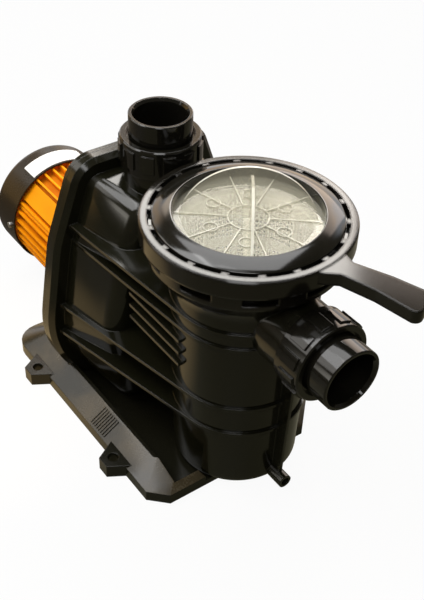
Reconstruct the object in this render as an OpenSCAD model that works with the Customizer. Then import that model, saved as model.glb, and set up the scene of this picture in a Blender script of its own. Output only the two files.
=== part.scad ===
// Self-priming pool pump: a moulded strainer pot and volute on a lugged base, a clear lid under a
// lever lock ring, two glue-in unions and a finned motor. Millimetres, +Z up, +X towards the suction.
// The origin is the centre of the four mounting holes, on the floor.

/* [Base] */
// Distance between the mounting holes along the shaft
bolt_span_x = 156; // [140:1:166]
// Distance between the mounting holes across the shaft
bolt_span_y = 240; // [238:1:250]
// Diameter of a mounting hole
bolt_hole_d = 11; // [8:0.5:13]
// Reach of the base in front of the mounting centre
base_front = 148; // [142:1:156]
// Reach of the base behind the mounting centre
base_rear = 144; // [136:1:152]
// Width of the base between its outer walls
base_w = 231; // [226:1:234]
// Height of the upright outer edge
base_edge_h = 12; // [9:0.5:14]
// Height of the rails and the rear deck
base_h = 26; // [22:0.5:27]
// Width that the sloped side of a rail covers
rail_slope_w = 23; // [20:0.5:24]
// Width of the flat top of a rail
rail_top_w = 4; // [3:0.5:5]
// Thickness of the floor under the pot
floor_t = 7; // [5:0.5:9]
// Corner cut at the front of the base, on the near side
base_corner = 17; // [12:1:20]
// Corner cut at the front of the base, on the far side
base_far_corner = 50; // [40:1:50]
// Width of the wall round the base's well
base_wall = 8; // [6:0.5:10]
// Thickness of a mounting lug
lug_t = 15; // [12.5:0.5:18]
// Length of a lug where it leaves the wall
lug_l = 40; // [34:1:46]
// Length of a lug's outer edge
lug_tip_l = 14; // [10:1:20]
// Reach of a lug past the hole's centre
lug_reach = 12; // [10:0.5:14]
// Number of grip ribs on each rail
grip_ribs = 8; // [4:1:10]
// Spacing of the grip ribs
grip_pitch = 3.6; // [3:0.1:4.5]

/* [Strainer pot] */
// Distance from the mounting centre to the pot's axis
pot_x = 118; // [116:1:122]
// Radius of the pot near its foot
pot_r_low = 62; // [60:0.5:63]
// Radius of the pot under its collar
pot_r_top = 68; // [66:0.5:70]
// Wall of the pot
pot_wall = 4; // [3:0.25:5]
// Rounding of the pot's foot
pot_foot_r = 9; // [6:1:14]
// Height of the face that the lid seats on
lid_z = 276; // [272:1:280]
// Outer radius of the collar
collar_r = 84; // [83:0.25:84.5]
// Height of the collar
collar_h = 27; // [25:1:30]
// Inner radius of the collar above the basket's ledge
collar_bore_r = 70.5; // [70:0.25:72]
// Depth of the basket's ledge below the lid
ledge_depth = 14; // [12:0.5:16]
// Width of the gusset bands round the pot
band_w = 2.2; // [1.6:0.1:4]
// Thickness of a gusset plate
plate_t = 3.4; // [2.5:0.1:4]

/* [Volute and flange] */
// Height of the motor shaft
shaft_z = 90; // [89:0.5:93]
// Place of the flange's front face
flange_x = -48; // [-52:1:-46]
// Thickness of the housing's flange
flange_t = 13; // [12:0.5:15]
// Radius of the flange round the shaft
flange_r = 114.5; // [113:0.5:117]
// Radius of the flange's upper bulge
flange_mid_r = 104; // [102:0.5:106]
// Height of the top of the flange
flange_top_z = 270; // [264:0.5:272]
// Rounding of the flange's upper corners
flange_corner_r = 30; // [26:1:34]
// Distance between the upper corner centres
flange_corner_span = 100; // [92:1:106]
// Bevel of the flange's front edge
flange_bevel = 5; // [3:0.5:6]
// Thickness of the seal plate
seal_plate_t = 5; // [4:0.5:7]
// Reach of the volute chamber in front of the flange
chamber_l = 69.5; // [66:0.5:74]
// Radius of the volute's bore
volute_r = 74; // [70:0.5:75]
// Diameter of a flange bolt
flange_bolt_d = 6; // [5:0.5:8]

/* [Unions] */
// Outer diameter of the glue-in tailpiece
pipe_od = 60; // [59:0.5:61]
// Diameter of the pipe socket
socket_d = 50.3; // [50:0.1:51]
// Depth of the pipe socket
socket_depth = 31; // [28:0.5:32]
// Diameter over the nut's grip pads
nut_d = 80; // [79:0.1:82]
// Length of the nut
nut_l = 30; // [28:0.5:32]
// Thickness of the nut's inward lip
nut_lip_t = 4; // [3:0.25:5]
// Outer diameter of the threaded necks
neck_d = 70; // [69:0.25:70.5]
// Number of grip pads on a nut
nut_pads = 12; // [8:1:14]
// Height of the suction axis
suction_z = 205.5; // [203:0.5:207]
// Distance from the pot's axis to the suction pipe's end
suction_reach = 146.5; // [144:0.5:152]
// Length of suction tailpiece in front of its nut
suction_show = 24.5; // [22:0.5:28]
// Place of the discharge axis along the shaft
discharge_x = -18; // [-19:0.5:-17]
// Height of the discharge pipe's end
discharge_z = 319; // [318:0.5:324]
// Length of discharge tailpiece above its nut
discharge_show = 21; // [20:0.5:23]

/* [Lid] */
// Outer radius of the lock ring
ring_r = 94.5; // [93:0.5:95.5]
// Height of the lock ring's rim
rim_h = 18; // [16:0.5:20]
// Radius of the bezel's edge
bezel_r = 82.8; // [82:0.1:83.5]
// Radius of the bezel's opening
bezel_bore_r = 65.8; // [64:0.2:67]
// Rise of the bezel from its edge to its opening
bezel_rise = 5; // [4:0.5:7]
// Radius of the clear cover
window_r = 72; // [71.5:0.25:73]
// Thickness of the clear cover
window_t = 5; // [4:0.5:6]
// Height of the tall clear grip vane
vane_h = 50; // [40:1:56]
// Height of the low clear vane that crosses it
low_vane_h = 30; // [24:1:36]
// Thickness of the clear grip vanes
vane_t = 2.6; // [2:0.1:4]
// Number of hold-down tabs inside the lock ring
ring_tabs = 18; // [12:1:20]
// Number of windows in the lock ring's skirt
ring_windows = 10; // [8:1:12]
// Length of the lever from the pot's axis
lever_reach = 178; // [165:1:185]
// Thickness of the lever
lever_t = 12; // [10:0.5:14]
// Direction of the lever from the suction axis
lever_angle = 18; // [10:1:26]

/* [Motor] */
// Bore radius of the motor housing
motor_bore_r = 51.6; // [51:0.1:52]
// Wall of the motor housing
motor_wall = 3.4; // [3:0.1:3.8]
// Radius over the cooling fins
fin_r = 62.5; // [61.5:0.25:62.75]
// Thickness of a cooling fin
fin_t = 2.4; // [1.8:0.1:3]
// Length of the motor housing
motor_l = 158; // [152:1:164]
// Length of the stator stack
stack_l = 80; // [70:1:86]
// Radius of the rotor
rotor_r = 33; // [31:0.5:34]
// Radius of the shaft
shaft_r = 8.5; // [8:0.25:9]
// Outer radius of the bearings
bearing_r = 20; // [19:0.25:21]
// Width of the bearings
bearing_w = 12; // [11:0.5:13]
// Radius of the fan cover
cover_r = 66; // [65.75:0.25:68]
// Length of the fan cover
cover_l = 47; // [44:1:52]
// Wall of the fan cover
cover_wall = 1.8; // [1.4:0.1:2]
// Radius of the cooling fan
fan_r = 54; // [48:0.5:56]
// Number of fan blades
fan_blades = 9; // [7:1:11]
// Length of the terminal box
box_l = 74; // [66:1:80]
// Height of the terminal box
box_h = 56; // [50:1:60]
// Depth of the terminal box
box_d = 34; // [30:1:38]

/* [Wet end] */
// Radius of the impeller
impeller_r = 52; // [48:0.5:53]
// Number of impeller vanes
impeller_vanes = 6; // [5:1:8]
// Bore radius of the diffuser
diffuser_r = 60; // [59:0.5:62]
// Radius of the eye tunnel
tunnel_r = 24; // [22:0.5:25]
// Diameter of the drain spigot
drain_d = 14; // [13:0.5:15]
// Bore of the drain spigot
drain_bore_d = 9; // [8:0.5:9.5]
// Depth of the basket below its rim
basket_h = 142; // [130:1:150]

/* [Clearances] */
// Gap between faces that part when a piece moves
face_gap = 0.2; // [0.1:0.05:0.3]
// Radial gap between a nut or ring and the neck it turns on
turn_gap = 0.4; // [0.3:0.05:0.5]
// Radial gap of a seated piece
seat_gap = 0.2; // [0.1:0.05:0.3]
// Radial running clearance of the shaft
run_gap = 0.05; // [0.03:0.01:0.08]

/* [Hidden] */
$fn = 72;
cut = 1;
black = "#23221d";
gloss = "#151515";
orange = "#e8820c";
steel = "#b9bcc0";
cream = "#ddd3b4";
rubber = "#1b1b1b";

// Base
rail_edge = base_w / 2;
rail_in = rail_edge - rail_slope_w - rail_top_w;
rail_rise = base_h - base_edge_h;
slope_deg = atan2(rail_rise, rail_slope_w);
slope_len = norm([rail_rise, rail_slope_w]);
lug_bite = (lug_t - base_edge_h) * rail_slope_w / rail_rise + 1;
deck_x = flange_x - flange_t - seal_plate_t - 1;

// Pot
pot_z = floor_t;
collar_top = lid_z - face_gap;
collar_z = collar_top - collar_h;
neck_cone_h = 24;
cone_r = collar_r - 3;
ledge_z = lid_z - ledge_depth;
lid_seal_r = (collar_bore_r + collar_r) / 2;
lid_seal_t = 3;
lid_groove_w = 4.8;

// Unions: the nut's outer face is the zero of each union's own axis
neck_r = neck_d / 2;
tail_collar_t = 5;
tail_spigot_l = 8;
neck_bore_r = 28;
tail_bore_r = 22;
tail_face = -(nut_lip_t + face_gap);
neck_end = tail_face - tail_collar_t - face_gap;
suction_back = suction_reach - suction_show;
suction_nut_x = pot_x + suction_back;
discharge_nut_z = discharge_z - discharge_show;
union_seal_t = 3;
union_groove_w = 3.8;
nut_room = 1;
nut_pad_t = 1.6;
nut_pad_root = 1;
nut_pad_front = 5;
nut_pad_back = 7;
nut_edge = 1.2;
neck_drop = 90;
bore_drop = 100;
duct_w = 90;
duct_h = 130;
duct_wall = 8;
duct_skin = 2;
union_seal_r = (neck_bore_r + neck_r) / 2;

// Flange and chamber
flange_back = flange_x - flange_t;
plate_back = flange_back - seal_plate_t;
flange_mid_z = shaft_z + 70;
flange_corner_z = flange_top_z - flange_corner_r;
chamber_front = flange_x + chamber_l;
chamber_round = 20;
bolt_inset = 11;
bolt_r = flange_bolt_d / 2;
flange_bolt_grip = 8;
flange_seal_r = volute_r + 5;
flange_seal_t = 2.8;
flange_groove_w = 4;
gusset_z = [204, 187, 112, 79];
gusset_half = [85, 84, 101, 104];
web_z = [172, 158, 144];

// Wet end
plate_spigot_l = 6;
seal_x = flange_back + plate_spigot_l;
seal_pocket_r = 17;
impeller_back = seal_x + 10;
impeller_web = 3;
vane_w = 9;
shroud_t = 2.5;
eye_r = tunnel_r - 3;
impeller_front = impeller_back + impeller_web + vane_w + shroud_t;
eye_l = 8;
eye_wall = 2.4;
diffuser_back = seal_x + face_gap;
diffuser_front = impeller_front + 5;
diffuser_wall = 3;
snout_r = tunnel_r + diffuser_wall;
volute_front = chamber_front - 9;
snout_end = volute_front + 4;
nut_x = impeller_front + 2;

// Motor
shield_t = 4;
shield_r = fin_r + 0.5;
boss_r = bearing_r + 5;
motor_front = plate_back - shield_t;
motor_back = motor_front - motor_l;
bearing_inset = 2;
front_bearing_x = motor_front - bearing_inset;
rear_bearing_x = motor_back + 12;
stack_x = (motor_front + motor_back) / 2;
motor_r = motor_bore_r + motor_wall;
coil_l = 18;
tie_r = 2.5;
tie_ring_r = motor_r + tie_r + 0.4;
cover_front = motor_back + 5;
cover_back = cover_front - cover_l;
cover_in = cover_r - cover_wall;
shield_back = motor_back - shield_t;
fan_x = shield_back - 8;
fan_w = 18;
shaft_end = fan_x - fan_w;
fin_step = 10;
pad_deg = 45;
screw_r = 2;
trim_head_r = 3.6;
trim_head_h = 2;
cover_screw_l = 10;
box_screw_l = 16;
label_l = 24;
label_inset = 2;
label_t = 0.6;
label_gap = 0.05;
box_wall = 3;
box_gasket_t = 1.5;
box_lid_t = 5;
box_out = fin_r + 2 + box_d;
box_x = stack_x;
box_floor = fin_r + 4;
box_gland_y = (box_floor + box_out) / 2;
post_r = 4;
gland_r = 9;
gland_grip = 7;
box_gap = box_wall + gland_grip + 3;

function polar(r, a) = [r * cos(a), r * sin(a)];
// Points of an arc about c, from angle a0 to a1
function arc(c, r, a0, a1, n = 6) = [for (i = [0:n]) c + polar(r, a0 + (a1 - a0) * i / n)];
// Bolt places round the flange, one side, as [y, z]
flange_bolt_at = [
  [0, shaft_z] + polar(flange_r - bolt_inset, -24),
  [0, shaft_z] + polar(flange_r - bolt_inset, 12),
  [0, flange_mid_z] + polar(flange_mid_r - bolt_inset, 13),
  [flange_corner_span / 2, flange_corner_z] + polar(flange_corner_r - bolt_inset, 48)
];

// Puts a piece drawn about Z onto the shaft's axis, with its height measured along X
module on_shaft(x = 0) { translate([x, 0, shaft_z]) rotate([0, 90, 0]) children(); }
module on_pot(z = 0) { translate([pot_x, 0, z]) children(); }
module on_suction() { translate([suction_nut_x, 0, suction_z]) rotate([0, 90, 0]) children(); }
module on_discharge() { translate([discharge_x, 0, discharge_nut_z]) children(); }
module both_sides() { for (side = [0, 1]) mirror([0, side, 0]) children(); }
module ring(r_in, r_out, h) {
  rotate_extrude() translate([r_in, 0]) square([r_out - r_in, h]);
}
module groove(r, w, h) { ring(r - w / 2, r + w / 2, h); }
module o_ring(r, t) { rotate_extrude() translate([r, 0]) circle(d = t); }
module each_flange_bolt() {
  both_sides() for (p = flange_bolt_at) translate([0, p.x, p.y]) rotate([0, 90, 0]) children();
}

// Base

// Lug outline about its hole, with the wall on the +Y side
module lug() {
  wall = bolt_span_y / 2 - rail_edge + lug_bite;
  linear_extrude(lug_t)
    polygon([
      [-lug_l / 2, wall], [-lug_tip_l / 2, -lug_reach],
      [lug_tip_l / 2, -lug_reach], [lug_l / 2, wall]
    ]);
}

module each_lug() {
  for (sx = [-1, 1]) for (sy = [0, 1])
    mirror([0, sy, 0]) translate([sx * bolt_span_x / 2, -bolt_span_y / 2, 0]) children();
}

// Plan of the base, drawn in from its edge
module base_plan(inset) {
  f = base_front - inset;
  r = base_rear - inset;
  w = rail_edge - inset;
  c = base_corner;
  round_r = 26 - inset / 2;
  far = base_far_corner;
  front = [[f, -w + c], [f, w - far], [f - far, w]];
  back = concat(
    arc([round_r - r, w - round_r], round_r, 90, 180),
    arc([round_r - r, round_r - w], round_r, 180, 270)
  );
  polygon(concat(front, back, [[f - c, -w]]));
}

// Well between the rails, behind the front wall
module base_well() {
  f = base_front - base_wall;
  far = base_far_corner + base_wall * sqrt(2) - base_wall - (rail_edge - rail_in);
  polygon([[deck_x, -rail_in], [f, -rail_in], [f, rail_in - far], [f - far, rail_in], [deck_x, rail_in]]);
}

module base_body() {
  hull() {
    linear_extrude(base_edge_h) base_plan(0);
    linear_extrude(base_h) base_plan(rail_slope_w);
  }
}

module grip_rib() {
  rib = 1.2;
  translate([0, -rail_edge, base_edge_h]) rotate([slope_deg, 0, 0])
    translate([-rib / 2, 3, -rib]) cube([rib, slope_len - 6, rib + 0.9]);
}

module base() {
  rib_x = bolt_span_x / 2 - lug_l / 2 - grip_ribs * grip_pitch - 6;
  pot_clear = 2.5;
  color(black) difference() {
    union() {
      base_body();
      each_lug() lug();
      both_sides() for (i = [0:grip_ribs - 1]) translate([rib_x + i * grip_pitch, 0, 0]) grip_rib();
    }
    translate([0, 0, floor_t]) linear_extrude(base_h) base_well();
    on_pot(floor_t) cylinder(r = pot_r_low + pot_clear, h = base_h);
    translate([base_wall - base_rear, rail_in / 2 - rail_edge, -cut])
      cube([base_rear + deck_x - 2 * base_wall, base_w - rail_in, base_edge_h - 4 + cut]);
    each_lug() translate([0, 0, -cut]) cylinder(d = bolt_hole_d, h = base_h + 2 * cut);
    base_screw_places() {
      translate([0, 0, -cut]) cylinder(r = base_screw_r + seat_gap, h = base_h + 2 * cut);
      translate([0, 0, -cut]) cylinder(r = screw_head_r + seat_gap, h = screw_head_z + cut);
    }
  }
}

// Screws that hold the flange's foot to the rails from below
base_screw_r = 2.5;
base_screw_bite = 12;
screw_head_r = 4.5;
screw_head_z = 10;
module base_screw_places() {
  both_sides() translate([flange_back + flange_t / 2, rail_in + 3.6, 0]) children();
}

module base_screws() {
  head_h = 4;
  color(steel) base_screw_places() {
    translate([0, 0, screw_head_z - head_h]) cylinder(r = screw_head_r, h = head_h);
    translate([0, 0, screw_head_z]) cylinder(r = base_screw_r, h = base_h + base_screw_bite - screw_head_z);
  }
}

// Rubber saddle between the rear deck and the motor
module motor_saddle() {
  saddle_l = 24;
  saddle_w = 64;
  color(rubber) difference() {
    translate([stack_x, -saddle_w / 2, base_h]) cube([saddle_l, saddle_w, 14]);
    on_shaft(stack_x - cut) cylinder(r = fin_r + seat_gap, h = saddle_l + 2 * cut);
  }
}

// Strainer and volute housing

// Half section of the pot, drawn in by the wall for its inside
module pot_section(wall) {
  z0 = pot_z + wall;
  r0 = pot_r_low - wall;
  r1 = pot_r_top - wall;
  foot = max(pot_foot_r - wall, 2);
  top_z = collar_top + (wall > 0 ? cut : 0);
  rim = wall > 0
    ? [[r1, ledge_z], [collar_bore_r, ledge_z], [collar_bore_r, top_z]]
    : [[cone_r, collar_z], [collar_r, collar_z + 3], [collar_r, top_z]];
  polygon(concat(
    [[0, z0]],
    arc([r0 - foot, z0 + foot], foot, -90, 0),
    [[r1, collar_z - neck_cone_h]],
    rim,
    [[0, top_z]]
  ));
}

// Discs that span the flange's outline; their hull is the flange
module flange_discs(t, inset, bevel) {
  discs = [
    [0, shaft_z, flange_r], [0, flange_mid_z, flange_mid_r],
    [-flange_corner_span / 2, flange_corner_z, flange_corner_r],
    [flange_corner_span / 2, flange_corner_z, flange_corner_r]
  ];
  for (d = discs) translate([0, d.x, d.y]) rotate([0, 90, 0]) {
    cylinder(r = d.z - inset, h = t - bevel);
    cylinder(r = d.z - inset - bevel, h = t);
  }
}

// Room for the base under the flange: the floor, and a rail on each side
module base_room() {
  x0 = plate_back - 2;
  translate([x0, -base_w, -base_w]) cube([base_w, 2 * base_w, base_w + floor_t + face_gap]);
  both_sides() translate([x0, rail_in - seat_gap, 0]) cube([pot_x - x0, base_w, base_h]);
}

module chamber() {
  foot_z = floor_t + 3;
  corner_x = chamber_front - chamber_round;
  hull() {
    translate([flange_x - cut, 0, 0]) flange_discs(2 * cut, 16, 0);
    for (p = [[52, foot_z + chamber_round], [66, 112], [47, 204], [36, 228]])
      both_sides() translate([corner_x, p.x, p.y]) sphere(r = chamber_round, $fn = 28);
  }
}

// Horizontal plate from the flange to the pot, tangent to the band round the pot
module gusset(z, half) {
  r = pot_band_r(z);
  run = [flange_x - pot_x, half];
  reach = norm(run);
  tangent = atan2(run.y, run.x) - acos(r / reach);
  touch = polar(r, tangent);
  on_pot(z) linear_extrude(plate_t) {
    circle(r = r);
    polygon([run, touch, [touch.x, -touch.y], [run.x, -run.y]]);
  }
}

// Outer radius of the pot at a height, and of the band round it there
function pot_r(z) = pot_r_low + (pot_r_top - pot_r_low) * (z - pot_z) / (collar_z - neck_cone_h - pot_z);
function pot_band_r(z) = pot_r(z) + band_w;

module strainer_housing() {
  fin_w = 3;
  fin_top = suction_z - neck_r + 6;
  drain_z = pot_z + pot_wall + drain_d / 2;
  color(black) difference() {
    union() {
      on_pot() rotate_extrude() pot_section(0);
      difference() {
        union() {
          translate([flange_back, 0, 0]) hull() flange_discs(flange_t, 0, flange_bevel);
          chamber();
        }
        base_room();
      }
      for (i = [0:3]) gusset(gusset_z[i], gusset_half[i]);
      for (z = web_z) translate([chamber_front + 14, -pot_r_top - 3, z])
        cube([pot_x - chamber_front - 14, 2 * pot_r_top + 6, plate_t]);
      translate([volute_front, 0, shaft_z]) rotate([0, 90, 0])
        cylinder(r = snout_r + 4, h = pot_x - pot_r_low - volute_front + 12);
      on_discharge() translate([0, 0, -neck_drop]) cylinder(r = neck_r, h = neck_drop + neck_end);
      on_suction() translate([0, 0, -suction_back]) cylinder(r = neck_r, h = suction_back + neck_end);
      on_pot() translate([0, fin_w / 2, 0]) rotate([90, 0, 0]) linear_extrude(fin_w) polygon([
        [pot_r_low - 6, drain_z], [pot_r_low + 12, drain_z], [pot_r_low + 19, fin_top], [pot_r_low, fin_top]
      ]);
      on_pot(drain_z) rotate([0, 90, 0]) cylinder(d = drain_d, h = pot_r_low + 20);
    }
    on_pot() rotate_extrude() pot_section(pot_wall);
    on_pot(collar_top - lid_seal_t) groove(lid_seal_r, lid_groove_w, lid_seal_t + cut);
    on_shaft(flange_back - cut) cylinder(r = volute_r, h = volute_front - flange_back + cut);
    on_shaft(flange_back - cut) groove(flange_seal_r, flange_groove_w, flange_seal_t + cut);
    translate([flange_x + duct_wall, -duct_w / 2, shaft_z])
      cube([volute_front - flange_x - duct_wall - duct_skin, duct_w, duct_h]);
    on_shaft(volute_front - cut) cylinder(r = snout_r + seat_gap, h = 5 + cut);
    on_shaft(volute_front) cylinder(r = tunnel_r, h = pot_x - volute_front);
    on_discharge() {
      translate([0, 0, -nut_l - nut_room]) ring(neck_r, nut_d / 2 + nut_room, nut_l);
      translate([0, 0, -bore_drop]) cylinder(r = neck_bore_r, h = bore_drop + cut);
      union_groove();
    }
    on_suction() {
      translate([0, 0, -suction_back]) cylinder(r = neck_bore_r, h = suction_back + cut);
      union_groove();
    }
    on_pot(drain_z) rotate([0, 90, 0]) cylinder(d = drain_bore_d, h = pot_r_low + 20 + cut);
    translate([flange_back - cut, 0, 0]) each_flange_bolt()
      cylinder(r = bolt_r + seat_gap, h = flange_bolt_grip + 1 + cut);
    base_screw_places() translate([0, 0, floor_t])
      cylinder(r = base_screw_r + seat_gap, h = base_h + base_screw_bite + 1 - floor_t);
  }
}

// Slotted plug screwed into the drain spigot
module drain_plug() {
  plug_l = 10;
  slot = 1.6;
  drain_z = pot_z + pot_wall + drain_d / 2;
  color(gloss) on_pot(drain_z) rotate([0, 90, 0]) translate([0, 0, pot_r_low]) difference() {
    cylinder(d = drain_bore_d - 2 * seat_gap, h = plug_l);
    translate([-drain_bore_d, -slot / 2, plug_l - 2]) cube([2 * drain_bore_d, slot, 2 + cut]);
  }
}

// Perforated strainer basket hung on the pot's ledge, open to the inlet
basket_wall = 2.2;
basket_rim_t = 3;
basket_rim_r = collar_bore_r - 0.5;
basket_r_top = pot_r_top - pot_wall - 2;
basket_r_low = pot_r_low - pot_wall - 3;
basket_z = ledge_z - basket_h;
module strainer_basket() {
  slots = 24;
  slot_w = 6;
  slot_z = basket_z + 10;
  slot_top = suction_z - neck_bore_r - 6;
  color(cream) on_pot() difference() {
    rotate_extrude() polygon([
      [0, basket_z], [basket_r_low, basket_z], [basket_r_top, ledge_z], [basket_rim_r, ledge_z],
      [basket_rim_r, ledge_z + basket_rim_t], [basket_r_top - basket_wall, ledge_z + basket_rim_t],
      [basket_r_low - basket_wall, basket_z + basket_wall], [0, basket_z + basket_wall]
    ]);
    translate([0, 0, suction_z]) rotate([0, 90, 0]) cylinder(r = neck_bore_r, h = 2 * pot_r_top);
    for (i = [0:slots / 2 - 1]) rotate((i + 0.5) * 360 / slots)
      translate([-pot_r_top, -slot_w / 2, slot_z]) cube([2 * pot_r_top, slot_w, slot_top - slot_z]);
  }
}

// Flat lifting bail across the basket's rim, under the low vane
module basket_bail() {
  bail_w = 8;
  bail_t = 3;
  span = basket_r_top - basket_wall - 0.5;
  color(cream) on_pot(ledge_z + basket_rim_t) rotate(vane_turn) {
    translate([-span, -bail_w / 2, 0]) cube([2 * span, bail_w, bail_t]);
    for (s = [-1, 1]) translate([s * (span + 2), 0, 0]) cylinder(d = bail_w, h = bail_t);
  }
}

// Lid

module lid_o_ring() {
  color(rubber) on_pot(collar_top - lid_seal_t / 2) o_ring(lid_seal_r, lid_seal_t);
}

// Clear cover with two crossed grip vanes standing in the bezel's well
window_top = lid_z + window_t;
vane_reach = bezel_bore_r - 6;
vane_turn = -37;
module vane(h) {
  arch_r = (vane_reach * vane_reach + h * h) / (2 * h);
  intersection() {
    translate([-vane_reach, -vane_t / 2, window_top - 1]) cube([2 * vane_reach, vane_t, h + 2]);
    translate([0, vane_t, window_top + h - arch_r]) rotate([90, 0, 0])
      cylinder(r = arch_r, h = 2 * vane_t);
  }
}

module lid_window() {
  color("#d9ddd6", 0.4) on_pot() {
    translate([0, 0, lid_z]) cylinder(r = window_r, h = window_t);
    rotate(vane_turn) vane(low_vane_h);
    rotate(vane_turn + 90) vane(vane_h);
  }
}

// Moulded bezel that clamps the cover's margin
bezel_foot_t = 4;
bezel_foot_w = 3.2;
bezel_foot_r = bezel_r + bezel_foot_w;
bezel_edge_h = 5.6;
module lid_bezel() {
  foot_top = lid_z + bezel_foot_t;
  edge_top = foot_top + bezel_edge_h;
  lip_top = edge_top + bezel_rise;
  well = window_r + seat_gap;
  color(gloss) on_pot() rotate_extrude() polygon([
    [well, lid_z], [bezel_foot_r, lid_z], [bezel_foot_r, foot_top], [bezel_r, foot_top],
    [bezel_r, edge_top], [bezel_r - 1, edge_top + 0.9], [bezel_bore_r + 1.6, lip_top],
    [bezel_bore_r + 0.6, lip_top], [bezel_bore_r, lip_top - 0.6], [bezel_bore_r, window_top + seat_gap],
    [well, window_top + seat_gap]
  ]);
}

// Lock ring: rim, windowed skirt round the collar, hold-down tabs and the lever
ring_top = lid_z + bezel_foot_t + bezel_edge_h;
ring_skirt_h = 17;
ring_bore_r = collar_r + turn_gap;
ring_mouth_r = bezel_foot_r + 1;
// Lever outline about the pot's axis, x along the lever
lever_drop = 0.8;
lever_side = -12;
lever_root_w = 20;
lever_end_w = 29;
function lever_outline() = concat(
  [[ring_r - 12, lever_side - 21], [ring_r - 1, lever_side - 17],
   [ring_r + 10, lever_side - lever_root_w / 2], [ring_r + 42, lever_side - lever_root_w / 2]],
  arc([lever_reach - 8, lever_side - lever_end_w / 2 + 7], 7, -84, 8),
  arc([lever_reach - 11, lever_side + lever_end_w / 2 - 8], 8, 12, 92),
  [[ring_r + 44, lever_side + lever_root_w / 2 + 4], [ring_r + 10, lever_side + lever_root_w / 2],
   [ring_r - 1, lever_side + 16], [ring_r - 12, lever_side + 26]]
);
module lock_ring() {
  rim_z = ring_top - rim_h;
  skirt_z = rim_z - ring_skirt_h;
  tab_z = lid_z + bezel_foot_t + face_gap;
  tab_w = 7;
  tab_t = 5;
  window_h = 7;
  window_w = 29;
  color(gloss) on_pot() {
    difference() {
      union() {
        rotate_extrude() polygon([
          [ring_bore_r, skirt_z], [ring_bore_r + 4, skirt_z], [ring_bore_r + 4, rim_z], [ring_r, rim_z],
          [ring_r, ring_top - 1.5], [ring_r - 1.5, ring_top], [ring_mouth_r, ring_top],
          [ring_mouth_r, lid_z - face_gap], [ring_bore_r, lid_z - face_gap]
        ]);
        rotate(lever_angle) translate([0, 0, ring_top - lever_drop - lever_t]) difference() {
          linear_extrude(lever_t) polygon(lever_outline());
          translate([0, 0, -cut]) cylinder(r = ring_mouth_r + 1, h = lever_t + 2 * cut);
        }
      }
      for (i = [0:ring_windows - 1]) rotate(i * 360 / ring_windows + 6)
        translate([ring_bore_r - 3, -window_w / 2, skirt_z + 5]) cube([10, window_w, window_h]);
    }
    for (i = [0:ring_tabs - 1]) rotate((i + 0.5) * 360 / ring_tabs)
      translate([bezel_r + 0.6, -tab_w / 2, tab_z]) cube([ring_mouth_r - bezel_r, tab_w, tab_t]);
  }
}

// Unions, drawn about Z with the nut's outer face at zero

module union_nut() {
  body_r = nut_d / 2 - nut_pad_t;
  pad_h = nut_l - nut_pad_front - nut_pad_back;
  pad_share = 0.6;
  difference() {
    union() {
      translate([0, 0, -nut_l]) cylinder(r = body_r, h = nut_l - nut_edge);
      translate([0, 0, -nut_edge]) cylinder(r1 = body_r, r2 = body_r - nut_edge, h = nut_edge);
      for (i = [0:nut_pads - 1]) rotate(i * 360 / nut_pads) translate([0, 0, -pad_h - nut_pad_front])
        rotate_extrude(angle = pad_share * 360 / nut_pads) translate([body_r - nut_pad_root, 0])
          square([nut_pad_t + nut_pad_root, pad_h]);
    }
    translate([0, 0, -nut_l - cut]) cylinder(r = neck_r + turn_gap, h = nut_l - nut_lip_t + cut);
    translate([0, 0, -nut_lip_t - cut]) cylinder(r = (neck_r + pipe_od / 2) / 2, h = nut_lip_t + 2 * cut);
  }
}

module tailpiece(show) {
  edge = 0.8;
  lead_in = 3;
  mouth_r = pipe_od / 2 - 3;
  back = tail_face - tail_collar_t;
  rotate_extrude() polygon([
    [tail_bore_r, back - tail_spigot_l], [neck_bore_r - seat_gap, back - tail_spigot_l],
    [neck_bore_r - seat_gap, back], [neck_r, back], [neck_r, tail_face], [pipe_od / 2, tail_face],
    [pipe_od / 2, show - edge], [pipe_od / 2 - edge, show], [mouth_r, show],
    [socket_d / 2, show - lead_in], [socket_d / 2, show - socket_depth], [tail_bore_r, show - socket_depth]
  ]);
}

module union_groove() {
  translate([0, 0, neck_end - union_seal_t]) groove(union_seal_r, union_groove_w, union_seal_t + cut);
}

module union_o_ring() {
  translate([0, 0, neck_end - union_seal_t / 2]) o_ring(union_seal_r, union_seal_t);
}

module suction_tailpiece() { color(gloss) on_suction() tailpiece(suction_show); }
module suction_o_ring() { color(rubber) on_suction() union_o_ring(); }
module suction_union_nut() { color(gloss) on_suction() union_nut(); }
module discharge_tailpiece() { color(gloss) on_discharge() tailpiece(discharge_show); }
module discharge_o_ring() { color(rubber) on_discharge() union_o_ring(); }
module discharge_union_nut() { color(gloss) on_discharge() union_nut(); }

// Wet end

// Cup round the impeller, with guide vanes and a snout in the eye tunnel
module diffuser() {
  vanes = 9;
  color(black) {
    on_shaft() rotate_extrude() polygon([
      [diffuser_r, diffuser_back], [diffuser_r + diffuser_wall, diffuser_back],
      [diffuser_r + diffuser_wall, diffuser_front], [snout_r, diffuser_front],
      [snout_r, snout_end], [tunnel_r, snout_end], [tunnel_r, diffuser_front - diffuser_wall],
      [diffuser_r, diffuser_front - diffuser_wall]
    ]);
    on_shaft(impeller_back) for (i = [0:vanes - 1]) rotate(i * 360 / vanes)
      translate([impeller_r + 2, -1, 0]) cube([diffuser_r - impeller_r - 1.5, 2, impeller_web + vane_w]);
  }
}

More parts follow.
